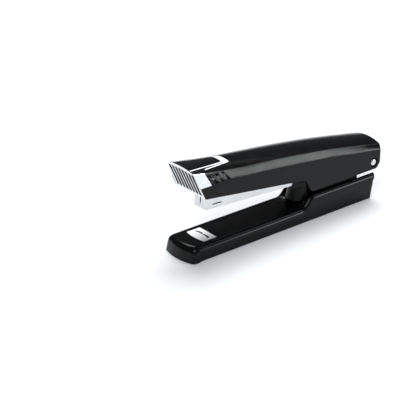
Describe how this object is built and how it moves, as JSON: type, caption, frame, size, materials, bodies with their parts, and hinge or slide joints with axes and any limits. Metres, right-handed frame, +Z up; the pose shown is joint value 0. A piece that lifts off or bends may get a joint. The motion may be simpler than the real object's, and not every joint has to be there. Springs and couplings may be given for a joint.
{
  "type": "desk stapler",
  "caption": "Full-strip desk stapler: long base with anvil, sprung staple magazine and a hollow black handle with a raked chrome-framed grille, all hinged on one rear pin.",
  "frame": {"origin": "middle of the bounding box's footprint, on the surface that the stapler stands on", "axes": "-X towards the nose, +Y to the stapler's left side, +Z up"},
  "size_m": [0.1997, 0.0368, 0.0756],
  "materials": {
    "black_plastic": "smooth black moulded plastic",
    "gloss_panel": "piano-black inlay",
    "rubber_foot": "matt rubber",
    "chrome_trim": "bright chrome plating",
    "plated_steel": "bright nickel-plated sheet and wire",
    "dark_steel": "black-painted sheet steel",
    "spring_wire": "drawn spring wire",
    "staple_wire": "galvanised staple wire, glued in a strip"
  },
  "bodies": {
    "base": {"base_shell": "black_plastic", "base_bottom_plate": "dark_steel", "foot_pad_front": "rubber_foot", "foot_pad_rear": "rubber_foot", "anvil_plate": "plated_steel", "anvil_rivet": "plated_steel", "hinge_bracket": "dark_steel", "bracket_rivet_1": "plated_steel", "bracket_rivet_2": "plated_steel", "lift_spring": "spring_wire", "hinge_pin": "plated_steel", "hinge_pin_cap": "plated_steel"},
    "magazine": {"magazine_channel": "plated_steel", "staple_rail": "plated_steel", "staple_strip": "staple_wire", "follower_rod": "plated_steel", "follower_spring": "spring_wire", "magazine_end_block": "black_plastic", "spring_carrier": "black_plastic"},
    "follower_body": {"follower": "dark_steel"},
    "handle": {"handle_cover": "black_plastic", "nose_cap": "black_plastic", "top_panel": "gloss_panel", "panel_trim": "chrome_trim", "grille_bezel": "chrome_trim", "grille_backing": "black_plastic", "cheek_trim_right": "chrome_trim", "cheek_trim_left": "chrome_trim", "louvre_strip_right": "chrome_trim", "louvre_strip_left": "chrome_trim", "handle_frame": "plated_steel", "driver_blade": "plated_steel", "driver_rivet_1": "plated_steel", "driver_rivet_2": "plated_steel", "leaf_spring": "plated_steel", "cover_screw_1": "plated_steel", "cover_screw_2": "plated_steel"}
  },
  "joints": [
    {"name": "magazine_hinge", "type": "hinge", "parent": "base", "child": "magazine", "pos_m": [0.0908, 0, 0.0321], "axis": [0, 1, 0], "range_deg": [-7.7, 0], "stiffness_Nm_per_rad": 12, "springref_deg": 2.86, "deforming": ["lift_spring"]},
    {"name": "handle_hinge", "type": "hinge", "parent": "magazine", "child": "handle", "pos_m": [0.0908, 0, 0.0321], "axis": [0, 1, 0], "range_deg": [-3.7, 85], "stiffness_Nm_per_rad": 1, "springref_deg": 4.01, "deforming": ["leaf_spring"]},
    {"name": "follower_slide", "type": "slide", "parent": "magazine", "child": "follower_body", "axis": [0.9985, 0, -0.0557], "range_m": [0, 0.07], "stiffness_N_per_m": 20, "springref_m": -0.02, "deforming": ["follower_spring"]}
  ]
}
